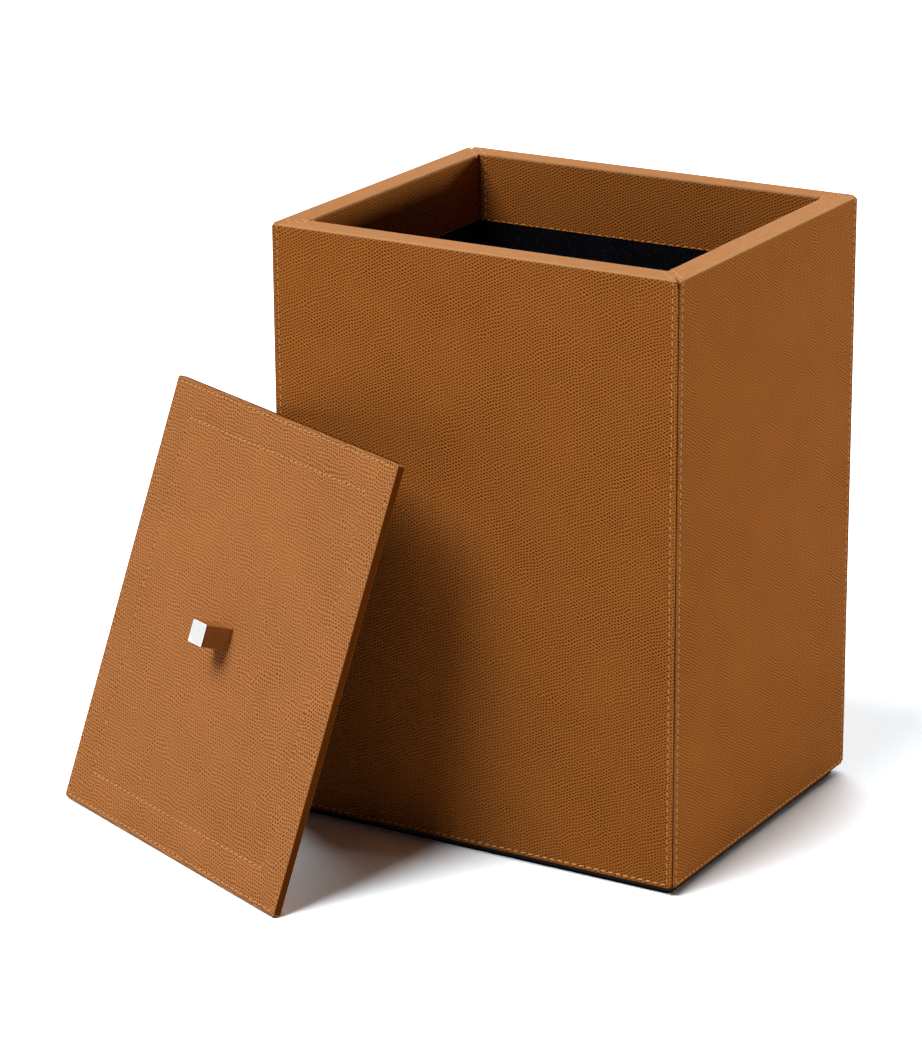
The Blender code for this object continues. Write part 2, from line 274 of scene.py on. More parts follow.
def place(piece, matrix):
    """Puts a piece modelled in its own axes where it belongs, with its place in its mesh."""
    only(piece)
    piece.matrix_world = matrix
    bpy.ops.object.transform_apply()


# Faces that meet at less than this are shaded smooth
SMOOTH_ANGLE = math.radians(40)


def finish_piece(piece, name, body, material, replaced=()):
    """Names a piece, gives it its finish and sets what it rides on and stands for."""
    piece.name = name
    piece.data.name = name
    piece.data.materials.clear()
    piece.data.materials.append(material)
    only(piece)
    bpy.ops.object.shade_smooth_by_angle(angle=SMOOTH_ANGLE)
    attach(piece, body)
    if replaced:
        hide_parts(*replaced)


# The box's shape, from the frame

SHELL_HALF_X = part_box("right_cover")[1].x
SHELL_HALF_Y = -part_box("front_cover")[0].y
SHELL_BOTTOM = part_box("front_cover")[0].z
SHELL_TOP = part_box("front_cover")[1].z
SHELL_HEIGHT = SHELL_TOP - SHELL_BOTTOM
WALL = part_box("front_cover")[1].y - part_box("front_cover")[0].y
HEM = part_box("front_board")[1].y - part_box("front_cover")[0].y
BAND_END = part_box("front_lining")[1].z - SHELL_BOTTOM

# The four walls: name, length, how far the outer face is from the middle, and its turn
WALLS = (
    ("front", 2 * SHELL_HALF_X, SHELL_HALF_Y, 0.0),
    ("right", 2 * SHELL_HALF_Y, SHELL_HALF_X, math.pi / 2),
    ("back", 2 * SHELL_HALF_X, SHELL_HALF_Y, math.pi),
    ("left", 2 * SHELL_HALF_Y, SHELL_HALF_X, -math.pi / 2),
)


def wall_matrix(distance, turn):
    """From a wall's own axes, outer face at y = 0 and inside towards +Y, to its side of the box."""
    shift = Matrix.Translation((0, -distance, SHELL_BOTTOM))
    return Matrix.Rotation(turn, 4, "Z") @ shift


# The lid's own axes: x along its width, y along its length, z out of its top

LID_ROTATION = Matrix.Rotation(LID_TURN, 3, "Z") @ Matrix.Rotation(math.pi / 2 - LID_TILT, 3, "X")


def lid_box(node):
    """A lid node's lowest and highest corners along the lid's own axes."""
    turned = [LID_ROTATION.transposed() @ v.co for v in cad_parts[node].data.vertices]
    low = Vector([min(p[axis] for p in turned) for axis in range(3)])
    high = Vector([max(p[axis] for p in turned) for axis in range(3)])
    return low, high


LID_LOW, LID_HIGH = lid_box("lid_cover")
LID_WIDTH = LID_HIGH.x - LID_LOW.x
LID_LENGTH = LID_HIGH.y - LID_LOW.y
LID_THICKNESS = LID_HIGH.z - LID_LOW.z
LID_MIDDLE = Vector(((LID_LOW.x + LID_HIGH.x) / 2, (LID_LOW.y + LID_HIGH.y) / 2, LID_LOW.z))
LID_MATRIX = LID_ROTATION.to_4x4() @ Matrix.Translation(LID_MIDDLE)
PANEL_LOW, PANEL_HIGH = lid_box("panel_cover")
LID_HEM = (LID_WIDTH - (PANEL_HIGH.x - PANEL_LOW.x)) / 2
KNOB_LOW, KNOB_HIGH = lid_box("knob_sleeve")
CAP_LOW, CAP_HIGH = lid_box("knob_cap")


# A wall's section, followed from the hem under the foot, up the face, over the rim and down the band

class SectionPath:
    """Points along the leather's outer surface, in a wall's own y and z, with the distance run to each
    along the section and along a corner row, which crosses the rim slantwise."""

    def __init__(self):
        foot = sizes().foot_round
        rim = sizes().rim_round
        points = [(HEM, 0.0)]
        points += self.arc(foot, foot, foot, -90, -180)
        points += self.arc(rim, SHELL_HEIGHT - rim, rim, 180, 90)
        points += self.arc(WALL - rim, SHELL_HEIGHT - rim, rim, 90, 0)
        points.append((WALL, BAND_END))
        self.points = points
        self.run = [0.0]
        self.row_run = [0.0]
        for (y0, z0), (y1, z1) in zip(points, points[1:]):
            self.run.append(self.run[-1] + math.hypot(y1 - y0, z1 - z0))
            self.row_run.append(self.row_run[-1] + math.sqrt(2 * (y1 - y0) ** 2 + (z1 - z0) ** 2))
        self.rim_middle = self.nearest(WALL / 2, SHELL_HEIGHT)[0]
        self.row_start = self.along_row(self.nearest(0, sizes().foot_row)[0])
        row_length = self.row_run[-1] - sizes().band_row - self.row_start
        self.row_count, self.row_pitch = even_rows(row_length)

    def arc(self, centre_y, centre_z, radius, start, end, steps=12):
        """Points of one fold, with both ends."""
        points = []
        for step in range(steps + 1):
            angle = math.radians(start + (end - start) * step / steps)
            points.append((centre_y + radius * math.cos(angle), centre_z + radius * math.sin(angle)))
        return points

    def nearest(self, y, z):
        """Distance run at the path's point nearest to (y, z), and how deep under it (y, z) lies."""
        best_gap = math.inf
        best_run = 0.0
        for (y0, z0), (y1, z1), run in zip(self.points, self.points[1:], self.run):
            step = math.hypot(y1 - y0, z1 - z0)
            along = ((y - y0) * (y1 - y0) + (z - z0) * (z1 - z0)) / step
            along = min(max(along, 0.0), step)
            share = along / step
            gap = math.hypot(y - y0 - share * (y1 - y0), z - z0 - share * (z1 - z0))
            if gap < best_gap:
                best_gap = gap
                best_run = run + along
        return best_run, best_gap

    def along_row(self, run):
        """Distance along a corner row at a distance run along the section."""
        for a, b, c, d in zip(self.run, self.run[1:], self.row_run, self.row_run[1:]):
            if run <= b:
                return c + (d - c) * (run - a) / (b - a)
        return self.row_run[-1]


def row_point(path, length, side, run_along):
    """Point, direction and outward normal of a corner row, at a distance along the row.

    The row stays on a plane parallel to the mitre, so it runs up the face, slantwise over the
    rim and down the band. Side is 1 for the wall's +X end and -1 for the other."""
    start_x = length / 2 - sizes().corner_row
    walked = 0.0
    for (y0, z0), (y1, z1) in zip(path.points, path.points[1:]):
        first = Vector((side * (start_x - y0), y0, z0))
        second = Vector((side * (start_x - y1), y1, z1))
        step = (second - first).length
        tangent = (second - first) / step
        normal = Vector((0, -(z1 - z0), y1 - y0)).normalized()
        if walked + step >= run_along:
            break
        walked += step
    return first + tangent * (run_along - walked), tangent, normal


def even_rows(length):
    """How many stitches fill a length best, and their true pitch."""
    count = max(1, round(length / sizes().stitch_pitch))
    return count, length / count


# Nodes and finishes

def set_inputs(node, inputs):
    """Sets a node's inputs: a value is put in, an output is linked, and a node stands for its first
    output that is in use."""
    for socket, value in inputs.items():
        if isinstance(value, bpy.types.Node):
            value = next(output for output in value.outputs if output.enabled)
        if isinstance(value, bpy.types.NodeSocket):
            node.id_data.links.new(value, node.inputs[socket])
        else:
            node.inputs[socket].default_value = value


def add_node(tree, kind, inputs=(), **settings):
    """Adds a shader node, sets its options, and sets or links its inputs."""
    node = tree.nodes.new("ShaderNode" + kind)
    for name, value in settings.items():
        setattr(node, name, value)
    set_inputs(node, dict(inputs))
    return node


def new_material(name, **values):
    """A material with its shader's plain values set. Returns it, its shader, and add_node for its tree."""
    material = bpy.data.materials.new(name)
    material.use_nodes = True
    shader = material.node_tree.nodes["Principled BSDF"]
    set_inputs(shader, {socket.replace("_", " "): value for socket, value in values.items()})
    return material, shader, functools.partial(add_node, material.node_tree)


def opaque(colour):
    """A colour with its alpha."""
    return (*colour, 1.0)


def drift(add, vector, extent, detail, low, high, contrast=0.2):
    """A factor that drifts between low and high, over an extent in the vector's own unit."""
    noise = add("TexNoise", {"Vector": vector, "Scale": 1 / extent, "Detail": detail})
    return add("MapRange", {"Value": noise, "From Min": 0.5 - contrast, "From Max": 0.5 + contrast,
                            "To Min": low, "To Max": high})


def set_colour_and_relief(add, shader, colour, height, depth):
    """Gives a shader its colour, and raises its surface by a height times a depth in metres."""
    raised = add("Math", {0: height, 1: depth}, operation="MULTIPLY")
    bump = add("Bump", {"Height": raised, "Distance": 1.0})
    set_inputs(shader, {"Base Color": colour, "Normal": bump})


# Three families of waves whose crests meet in a honeycomb: waves per millimetre across and along the
# hide, and how strong each is. The third is the sum of the other two, so that the crests coincide
WALL_GRAIN = ((0.29, -0.61, 1.0), (0.37, 0.62, 1.1), (0.66, 0.01, 0.25))
LID_GRAIN = ((0.55, -0.36, 1.15), (0.02, 0.60, 1.0), (0.57, 0.24, 0.9))
# How far the rows wander and how far each pit strays, and over what distances
WALL_DISORDER = (0.000715, 0.00018)
LID_DISORDER = (0.0010, 0.00027)
DISORDER_EXTENTS = (0.011, 0.0034)
# Over what distances the embossing's depth and the tone change, and a streak's length and width
DEPTH_EXTENT = 0.03
TONE_EXTENT = 0.05
STREAK_LENGTH = 0.012
STREAK_WIDTH = 0.0011


def pebbled_leather(name, waves, disorder, ridge_colour, pit_dye_and_shade_colour, dye_and_shade_colour):
    """Calfskin embossed with a pebble grain and dyed through: a honeycomb of small pits whose rows
    wander over the hide, rougher at the bottom and darker there, partly by dye and partly as painted
    shade, on a satin surface. The pattern reads the hide's own UV map, in metres. It is made once and then
    used again."""
    if name in bpy.data.materials:
        return bpy.data.materials[name]
    size = sizes()
    look = colours()
    material, shader, add = new_material(name, IOR=1.45, Specular_IOR_Level=0.005)
    hide = add("UVMap", uv_map="hide")

    # The rows wander slowly and jitter from pit to pit
    moved = hide
    for amount, extent in zip(disorder, DISORDER_EXTENTS):
        noise = add("TexNoise", {"Vector": hide, "Scale": 1 / extent, "Detail": 1.0})
        centred = add("VectorMath", {0: noise.outputs["Color"], 1: (0.5, 0.5, 0.5)}, operation="SUBTRACT")
        moved = add("VectorMath", {0: centred, 1: (4 * amount,) * 3, 2: moved}, operation="MULTIPLY_ADD")

    # The waves' crests add up to rows of pits
    total = 0.0
    for across, along, strength in waves:
        wave = (math.tau * 1000 * across, math.tau * 1000 * along, 0)
        phase = add("VectorMath", {0: moved, 1: wave}, operation="DOT_PRODUCT")
        crest = add("Math", {0: phase}, operation="COSINE")
        total = add("Math", {0: crest, 1: strength, 2: total}, operation="MULTIPLY_ADD")
    pit = add("MapRange", {"Value": total, "From Max": 1.5}, interpolation_type="SMOOTHSTEP")

    # The embossing is deeper in some places, and almost gone where the leather is stretched
    stretch, fold, edge = (add("Attribute", attribute_name=share).outputs["Fac"]
                           for share in ("grain", "fold", "dye"))
    for factor in (drift(add, hide, DEPTH_EXTENT, 2.0, 0.74, 0.98), stretch):
        pit = add("Math", {0: pit, 1: factor}, operation="MULTIPLY")

    # Needle holes between the stitches: painted dark as painted shade, and sunk a little in the relief
    parts = add("SeparateXYZ", {0: add("UVMap", uv_map="seam")})
    along = add("Math", {0: parts.outputs["X"], 1: 0.5}, operation="PINGPONG")
    along = add("Math", {0: along, 1: size.stitch_pitch}, operation="MULTIPLY")
    spot = add("CombineXYZ", {0: along, 1: parts.outputs["Y"]})
    spread = add("VectorMath", {0: spot}, operation="LENGTH")
    hole = add("MapRange", {"Value": spread, "From Min": 0.55 * size.thread, "From Max": 0.2 * size.thread},
               interpolation_type="SMOOTHSTEP")

    # Streaks where the leather is drawn over the rim, then ridges, a painted highlight on the outer fold
    # and pits darkened partly by dye and partly as painted shade, a slow change of tone over all of them,
    # and on top the painted shade in the seams' grooves, the lid edges' dye and the needle holes' painted
    # shade
    drawn = add("VectorMath", {0: hide, 1: (1 / STREAK_LENGTH, 1 / STREAK_WIDTH, 1)}, operation="MULTIPLY")
    streak = drift(add, drawn, 1.0, 2.0, 0.88, 1.12)
    tone = drift(add, hide, TONE_EXTENT, 3.0, 0.975, 1.03)
    # The smooth leather's colour, partly its own and partly painted sheen
    colour = add("VectorMath", {0: look.stretched_leather_and_sheen, "Scale": streak}, operation="SCALE")
    for share, layer in ((stretch, ridge_colour), (fold, look.fold_highlight), (pit, pit_dye_and_shade_colour)):
        colour = add("Mix", {"Factor": share, "A": colour, "B": opaque(layer)}, data_type="RGBA")
    colour = add("VectorMath", {0: colour, "Scale": tone}, operation="SCALE")
    # Painted shade in the walls' seam grooves and dye on the lid's cut edges, then painted shade in the
    # needle holes
    for share, layer in ((edge, dye_and_shade_colour), (hole, look.needle_hole_shade)):
        colour = add("Mix", {"Factor": share, "A": colour, "B": opaque(layer)}, data_type="RGBA")

    # Pits scatter more light than the polished ridges, and sink in with the holes
    set_inputs(shader, {"Roughness": add("MapRange", {"Value": pit, "To Min": 0.48, "To Max": 0.75})})
    sunk = add("Math", {0: hole, 1: 1.6, 2: pit}, operation="MULTIPLY_ADD")
    set_colour_and_relief(add, shader, colour, sunk, -size.grain_depth)
    return material


def wall_leather():
    """The leather of the walls and the knob, whose rows of pits run nearly upright."""
    look = colours()
    return pebbled_leather("tan pebbled calfskin", WALL_GRAIN, WALL_DISORDER,
                           look.wall_ridge, look.wall_pit_dye_and_shade, look.seam_shade)


def lid_leather():
    """The lid's leather, cut across the hide, so its rows of pits lie down. It is the walls' leather
    painted a little lighter, as painted light.
    """
    look = colours()
    return pebbled_leather("tan pebbled calfskin, cut across", LID_GRAIN, LID_DISORDER,
                           look.lid_ridge, look.lid_pit_dye_and_shade, look.lid_edge)


def sewing_thread():
    """Waxed polyester thread of two twisted plies: pale, satin, with a fine slanting twist. The twist
    is drawn at two turns a stitch, coarser than real, so that it shows. It is made once."""
    name = "waxed polyester thread"
    if name in bpy.data.materials:
        return bpy.data.materials[name]
    material, shader, add = new_material(name, Roughness=0.6, IOR=1.5, Specular_IOR_Level=0.02)
    twist = add("UVMap", uv_map="twist")
    slant = add("VectorMath", {0: twist, 1: (2 * math.tau, math.tau, 0)}, operation="DOT_PRODUCT")
    ply = add("Math", {0: slant}, operation="SINE")
    shade = add("MapRange", {"Value": ply, "From Min": -1.0, "From Max": 0.2, "To Min": 0.7})
    colour = add("VectorMath", {0: colours().thread, "Scale": shade}, operation="SCALE")
    set_colour_and_relief(add, shader, colour, ply, 0.00006)
    return material


def suede_lining():
    """Dyed microfibre suede: a short nap that drinks the light, brushed in soft patches, with a few
    paler fibre ends. The fibre specks are drawn at 0.6 mm, coarser than real, so that they show."""
    look = colours()
    material, shader, add = new_material("blue-black microfibre suede", Roughness=0.95,
                                         Specular_IOR_Level=0.03, Sheen_Weight=0.02, Sheen_Roughness=0.5)
    spot = add("TexCoord").outputs["Object"]
    patches = drift(add, spot, 0.02, 3.0, 0.75, 1.25, contrast=0.15)
    base = add("VectorMath", {0: look.suede, "Scale": patches}, operation="SCALE")
    fibres = add("TexNoise", {"Vector": spot, "Scale": 1 / 0.0006, "Detail": 2.0})
    specks = add("MapRange", {"Value": fibres, "From Min": 0.62, "From Max": 0.75})
    colour = add("Mix", {"Factor": specks, "A": base, "B": opaque(look.suede_fibre)}, data_type="RGBA")
    set_colour_and_relief(add, shader, colour, fibres, 0.0002)
    return material


def grained_finish(name, colour, extent, variation, relief, **values):
    """A matt finish whose tone and surface vary with a fine noise of the given extent in metres."""
    material, shader, add = new_material(name, **values)
    spot = add("TexCoord").outputs["Object"]
    noise = add("TexNoise", {"Vector": spot, "Scale": 1 / extent, "Detail": 4.0})
    tone = add("MapRange", {"Value": noise, "From Min": 0.3, "From Max": 0.7,
                            "To Min": 1 - variation, "To Max": 1 + variation})
    toned = add("VectorMath", {0: colour, "Scale": tone}, operation="SCALE")
    set_colour_and_relief(add, shader, toned, noise, relief)
    return material


def polished_chrome():
    """Chrome plate on brass, polished to a mirror and hazed by handling; its lower half is painted brown as
    painted shade.
    """
    look = colours()
    material, shader, add = new_material("polished chrome plate", Metallic=1.0)
    # Painted shade: dark brown on the cap's lower half
    joint = add("Attribute", attribute_name="joint").outputs["Fac"]
    plate = add("Mix", {"Factor": joint, "A": opaque(look.metal), "B": opaque(look.lid_edge)},
                data_type="RGBA")
    haze = add("TexNoise", {"Vector": add("TexCoord").outputs["Object"], "Scale": 1 / 0.003, "Detail": 3.0})
    rough = add("MapRange", {"Value": haze, "To Min": 0.04, "To Max": 0.14})
    set_inputs(shader, {"Base Color": plate, "Roughness": rough})
    return material


# Sewing

# How the stitches slant, and how far one may differ from that, either way
STITCH_SLANT = math.radians(7)
STITCH_SWAY = 0.05
# How far the middle of a stitch lies above the leather, as a share of the thread's thickness
STITCH_RISE = 0.22
# How far a stitch of the band may sink into the leather, as a share of the thread's thickness
BAND_SINK = 0.8


def model_stitch():
    """One stitch, lying along X with its ends bent down into their holes."""
    size = sizes()
    bpy.ops.mesh.primitive_cylinder_add(vertices=6, radius=size.thread / 2, depth=size.stitch_length,
                                        rotation=(0, math.pi / 2, 0))
    stitch = bpy.context.object
    bpy.ops.object.transform_apply()
    start_editing(stitch)
    half = size.stitch_length / 2
    ring_shares = (-0.82, -0.5, 0.0, 0.5, 0.82)
    for share in ring_shares:
        bisect((share * half, 0, 0), (1, 0, 0))
    for share in (-1.0, *ring_shares, 1.0):
        pick("VERT", lambda v: near(v.co.x, share * half))
        drop = size.thread * (0.9 * share ** 6 + 0.12 * share ** 2)
        bpy.ops.transform.translate(value=(0, 0, -drop))
        thin = 1 - 0.35 * share ** 4
        bpy.ops.transform.resize(value=(1, thin, thin), center_override=(share * half, 0, -drop))
    stop_editing()
    twist = stitch.data.uv_layers.new(name="twist")
    for polygon in stitch.data.polygons:
        corners = list(face_corners(stitch.data, polygon))
        angles = [math.atan2(co.z, co.y) / math.tau for _, _, co in corners]
        for (loop, _, co), angle in zip(corners, angles):
            if max(angles) - min(angles) > 0.5 and angle < 0:
                angle += 1
            twist.data[loop].uv = (co.x / size.stitch_length, angle)
    return stitch


def sew(name, body, spots, matrix):
    """Copies one stitch to every spot and joins them into one thread. A spot is a point, a direction, a
    normal, the shares of a stitch's length and thickness that show, and how far it sinks into the
    leather."""
    stitch = model_stitch()
    sway = random.Random(name)
    copies = []
    for point, direction, normal, shares, sink in spots:
        across = normal.cross(direction)
        frame_axes = Matrix((direction, across, normal)).transposed()
        turn = Matrix.Rotation(STITCH_SLANT + sway.uniform(-STITCH_SWAY, STITCH_SWAY), 3, "Z")
        copy = bpy.data.objects.new(name, stitch.data.copy())
        bpy.context.scene.collection.objects.link(copy)
        raised = point + normal * (sizes().thread * STITCH_RISE - sink)
        shown = Matrix.Diagonal((shares[0], shares[1], shares[1], 1))
        copy.matrix_world = matrix @ Matrix.Translation(raised) @ (frame_axes @ turn).to_4x4() @ shown
        copies.append(copy)
    bpy.data.objects.remove(stitch)
    bpy.ops.object.select_all(action="DESELECT")
    for copy in copies:
        copy.select_set(True)
    bpy.context.view_layer.objects.active = copies[0]
    bpy.ops.object.join()
    thread = bpy.context.object
    place(thread, thread.matrix_world.copy())
    finish_piece(thread, name, body, sewing_thread())


def straight_row(start, end, normal, shares):
    """Spots of a straight row of stitches from start to end."""
    start = Vector(start)
    end = Vector(end)
    count, pitch = even_rows((end - start).length)
    direction = (end - start).normalized()
    sink = sizes().valley_depth
    return [(start + direction * pitch * (i + 0.5), direction, Vector(normal), shares, sink)
            for i in range(count)]


# Walls

# How much of a stitch's length and thickness shows in each kind of row
CORNER_ROW_SHARES = (1.08, 0.8)
FOOT_ROW_SHARES = (1.0, 1.05)
BAND_ROW_SHARES = (0.5, 0.9)
LID_SHORT_SHARES = (1.12, 0.75)
LID_LONG_SHARES = (0.38, 0.75)
# Lines across the dip along a row of thread: how far from its middle, as a share of half its width, and
# how deep the dip is there, as a share of its depth
VALLEY_SHARES = ((-1.0, 0.0), (-0.5, 0.6), (0.0, 1.0), (0.5, 0.6), (1.0, 0.0))
# How far past the rim's fold the first cut lies that keeps the face flat, and how many times further from
# the edge the second one is
FOLD_SUPPORT = 0.0006
SECOND_SUPPORT = 2.5
# How close to the outer surface a vertex counts as part of it
SKIN_DEPTH = 0.0002
# How many times a fold's radius lies clear of the fold
CLEAR_OF_FOLD = 1.1


def dip_lines(row):
    """Where the lines across a row's dip lie, and how deep the dip is at each."""
    reach = sizes().valley_width / 2
    return [(row + across * reach, share * sizes().valley_depth) for across, share in VALLEY_SHARES]


def model_wall_cover(length, path):
    """A wall's leather in the wall's own axes: a sheet folded over the rim and under the foot, given
    its thickness, mitred at both ends, with rounded seam edges and a dip under each row of thread."""
    size = sizes()
    half = length / 2
    bpy.ops.mesh.primitive_plane_add(size=1, rotation=(math.pi / 2, 0, 0),
                                     location=(0, 0, SHELL_HEIGHT / 2))
    cover = bpy.context.object
    cover.scale = (length, SHELL_HEIGHT, 1)
    bpy.ops.object.transform_apply()
    start_editing(cover)
    over_rim = ((0, WALL, 0), (0, 0, BAND_END - SHELL_HEIGHT))
    under_foot = ((0, HEM, 0),)
    for height, moves in ((SHELL_HEIGHT, over_rim), (0, under_foot)):
        pick("EDGE", lambda e: all(near(v.co.z, height) for v in e.verts))
        for move in moves:
            bpy.ops.mesh.extrude_region_move(TRANSFORM_OT_translate={"value": move})

    def runs_along(edge, y, z):
        return all(near(v.co.y, y) and near(v.co.z, z) for v in edge.verts)

    pick("EDGE", lambda e: runs_along(e, 0, SHELL_HEIGHT) or runs_along(e, WALL, SHELL_HEIGHT))
    bevel_picked(size.rim_round, 8)
    pick("EDGE", lambda e: runs_along(e, 0, 0))
    bevel_picked(size.foot_round, 6)
    stop_editing()
    thicken(cover, size.leather)

    start_editing(cover)
    for side in (-1, 1):
        mitre = Vector((side, 1, 0)).normalized()
        bisect((side * half, 0, 0), mitre, clear=True)
        for line, _ in dip_lines(half - size.corner_row):
            bisect((side * line, 0, 0), mitre)
        for line in (size.seam_reach, 2 * size.seam_reach):
            bisect((side * (half - line), 0, 0), mitre)
    for row in (size.foot_row, BAND_END + size.band_row):
        for line, _ in dip_lines(row):
            bisect((0, 0, line), (0, 0, 1))
    support = size.rim_round + FOLD_SUPPORT
    for line in (support, SECOND_SUPPORT * support):
        bisect((0, 0, SHELL_HEIGHT - line), (0, 0, 1))
        bisect((0, line, 0), (0, 1, 0))
    bisect((0, WALL - support, 0), (0, 1, 0))

    def under_skin(vertex):
        return path.nearest(vertex.co.y, vertex.co.z)[1] < SKIN_DEPTH

    def corner_reach(vertex):
        return half - abs(vertex.co.x) - vertex.co.y

    # Rows of thread pull the leather in
    rows = (half - size.corner_row, size.foot_row, BAND_END + size.band_row)
    for (corner_line, depth), (low_line, _), (band_line, _) in zip(*map(dip_lines, rows)):
        if depth == 0:
            continue

        def in_row(vertex):
            if not under_skin(vertex):
                return False
            inside = corner_reach(vertex) > size.corner_row - size.valley_width / 4
            on_corner = near(half - corner_reach(vertex), corner_line) and vertex.co.z > size.foot_row * 0.9
            on_foot = near(vertex.co.z, low_line) and vertex.co.y < WALL / 2 and inside
            on_band = near(vertex.co.z, band_line) and vertex.co.y > WALL / 2 and inside
            return on_corner or on_foot or on_band

        pick("VERT", in_row)
        bpy.ops.transform.shrink_fatten(value=-depth)

    # The cut edges sink into a groove at the upright seams, with rounded shoulders
    def in_groove(vertex, reach):
        under_rim = vertex.co.z < SHELL_HEIGHT - max(support / 2, size.rim_round * CLEAR_OF_FOLD)
        on_face = vertex.co.y < size.leather / 2 and vertex.co.z > size.foot_round * CLEAR_OF_FOLD
        return under_rim and on_face and near(corner_reach(vertex), reach)

    for side in (-1, 1):
        pick("VERT", lambda v: in_groove(v, 0) and v.co.x * side > 0)
        bpy.ops.transform.translate(value=(-side * size.seam_sink, size.seam_sink, 0))
    pick("EDGE", lambda e: all(in_groove(v, size.seam_reach) for v in e.verts))
    bevel_picked(size.seam_round, 3)

    # The corners are pulled round under the rim's fold and over the foot's
    def in_corner(vertex, height, fold, reach):
        close = fold + size.leather
        return (vertex.co.y < close and abs(vertex.co.z - height) < close
                and near(corner_reach(vertex), reach, 0.0001))

    for height, fold, lift in ((SHELL_HEIGHT, size.rim_round, -1), (0, size.foot_round, 1)):
        for share, reach in ((1.0, 0), (0.5, size.seam_reach), (0.15, 2 * size.seam_reach)):
            pull = share * size.corner_pull
            for side in (-1, 1):
                pick("VERT", lambda v: in_corner(v, height, fold, reach) and v.co.x * side > 0)
                bpy.ops.transform.translate(value=(-side * pull, pull, lift * pull))
    stop_editing()
    return cover


# Where no row is near, the map puts the leather this far from one
SEAM_FAR = 0.01
# Distances from the middle of a fold over the rim: how far the leather is drawn smooth, where the grain
# starts again below the outer fold and over what distance, and half the width of the painted highlight on
# it
FOLD_SMOOTH = 0.0011
GRAIN_START = 0.0004
GRAIN_RETURN = 0.0006
FOLD_HIGHLIGHT = 0.0006
# How far from an upright seam the grain is a little smoother
SEAM_SMOOTH = 0.0018
# How much of the grain is left on the rim's flat, at an upright seam, at the lid's edge and on the knob
RIM_GRAIN = 0.2
SEAM_GRAIN = 0.5
LID_EDGE_GRAIN = 0.35
KNOB_GRAIN = 0.55


def add_maps(mesh, *shares):
    """Adds a mesh's two maps, the hide in metres and the distance to each row, and the named shares."""
    maps = [mesh.uv_layers.new(name=name) for name in ("hide", "seam")]
    return maps + [mesh.attributes.new(share, "FLOAT", "POINT") for share in shares]


def lay_wall_hide(cover, length, path, offset):
    """Gives a wall's cover its maps and shares. The hide is unrolled along the section."""
    size = sizes()
    half = length / 2
    mesh = cover.data
    hide, seam, grain, dye, fold = add_maps(mesh, "grain", "dye", "fold")
    runs = []
    for vertex in mesh.vertices:
        run = path.nearest(vertex.co.y, vertex.co.z)[0]
        runs.append(run)
        corner = half - abs(vertex.co.x) - vertex.co.y
        # Smooth over the rim, smoothest on its folds, and a little smoother at the upright seams
        from_fold = abs(abs(run - path.rim_middle) - WALL / 2)
        below_fold = path.rim_middle - WALL / 2 - run
        if below_fold < GRAIN_START and from_fold < FOLD_SMOOTH:
            share = 0.0
        elif abs(run - path.rim_middle) < WALL / 2:
            share = RIM_GRAIN
        else:
            share = 1 - (1 - SEAM_GRAIN) * max(0.0, 1 - corner / SEAM_SMOOTH)
        if below_fold > GRAIN_START:
            share *= min(1.0, (below_fold - GRAIN_START) / GRAIN_RETURN)
        grain.data[vertex.index].value = share
        # Painted highlight: the pale line along the rim's outer fold
        fold.data[vertex.index].value = max(0.0, 1 - abs(below_fold) / FOLD_HIGHLIGHT)
        # Painted shade: an upright seam's groove is painted dark, darkest at its bottom
        outside = vertex.co.y < WALL / 2 and vertex.co.z < SHELL_HEIGHT - size.rim_round * CLEAR_OF_FOLD
        sunk = outside and corner < size.seam_reach
        dye.data[vertex.index].value = min(1.0, vertex.co.y / size.seam_sink) if sunk else 0.0
    foot_pitch = even_rows(length - 2 * size.corner_row)[1]
    band_pitch = even_rows(length - 2 * size.corner_row - 2 * WALL)[1]
    for polygon in mesh.polygons:
        centre = polygon.center
        reach = half - abs(centre.x) - centre.y
        in_corner = reach < size.corner_row + size.valley_width / 2 and centre.z > size.foot_row * 0.5
        on_face = centre.y < WALL / 2
        in_foot = on_face and abs(centre.z - size.foot_row) < size.valley_width / 2
        in_band = not on_face and abs(centre.z - BAND_END - size.band_row) < size.valley_width / 2
        for loop, index, co in face_corners(mesh, polygon):
            hide.data[loop].uv = (co.x + offset, runs[index])
            if in_corner:
                walked = path.along_row(runs[index]) - path.row_start
                across = half - abs(co.x) - co.y - size.corner_row
                seam.data[loop].uv = (walked / path.row_pitch, across)
            elif in_foot:
                seam.data[loop].uv = ((co.x + half - size.corner_row) / foot_pitch, co.z - size.foot_row)
            elif in_band:
                start = half - size.corner_row - WALL
                seam.data[loop].uv = ((co.x + start) / band_pitch, co.z - BAND_END - size.band_row)
            else:
                seam.data[loop].uv = (0.5, SEAM_FAR)


def wall_rows(length, path):
    """Spots of every stitch on one wall, in the wall's own axes."""
    size = sizes()
    spots = []
    for side in (-1, 1):
        for i in range(path.row_count):
            point = row_point(path, length, side, path.row_start + path.row_pitch * (i + 0.5))
            spots.append((*point, CORNER_ROW_SHARES, size.valley_depth))
    reach = length / 2 - size.corner_row
    height = size.foot_row
    spots += straight_row((-reach, 0, height), (reach, 0, height), (0, -1, 0), FOOT_ROW_SHARES)
    reach -= WALL
    height = BAND_END + size.band_row
    band = straight_row((-reach, WALL, height), (reach, WALL, height), (0, 1, 0), BAND_ROW_SHARES)
    sway = random.Random(length)
    spots += [(*spot[:4], sway.uniform(0.0, BAND_SINK) * size.thread) for spot in band]
    return spots


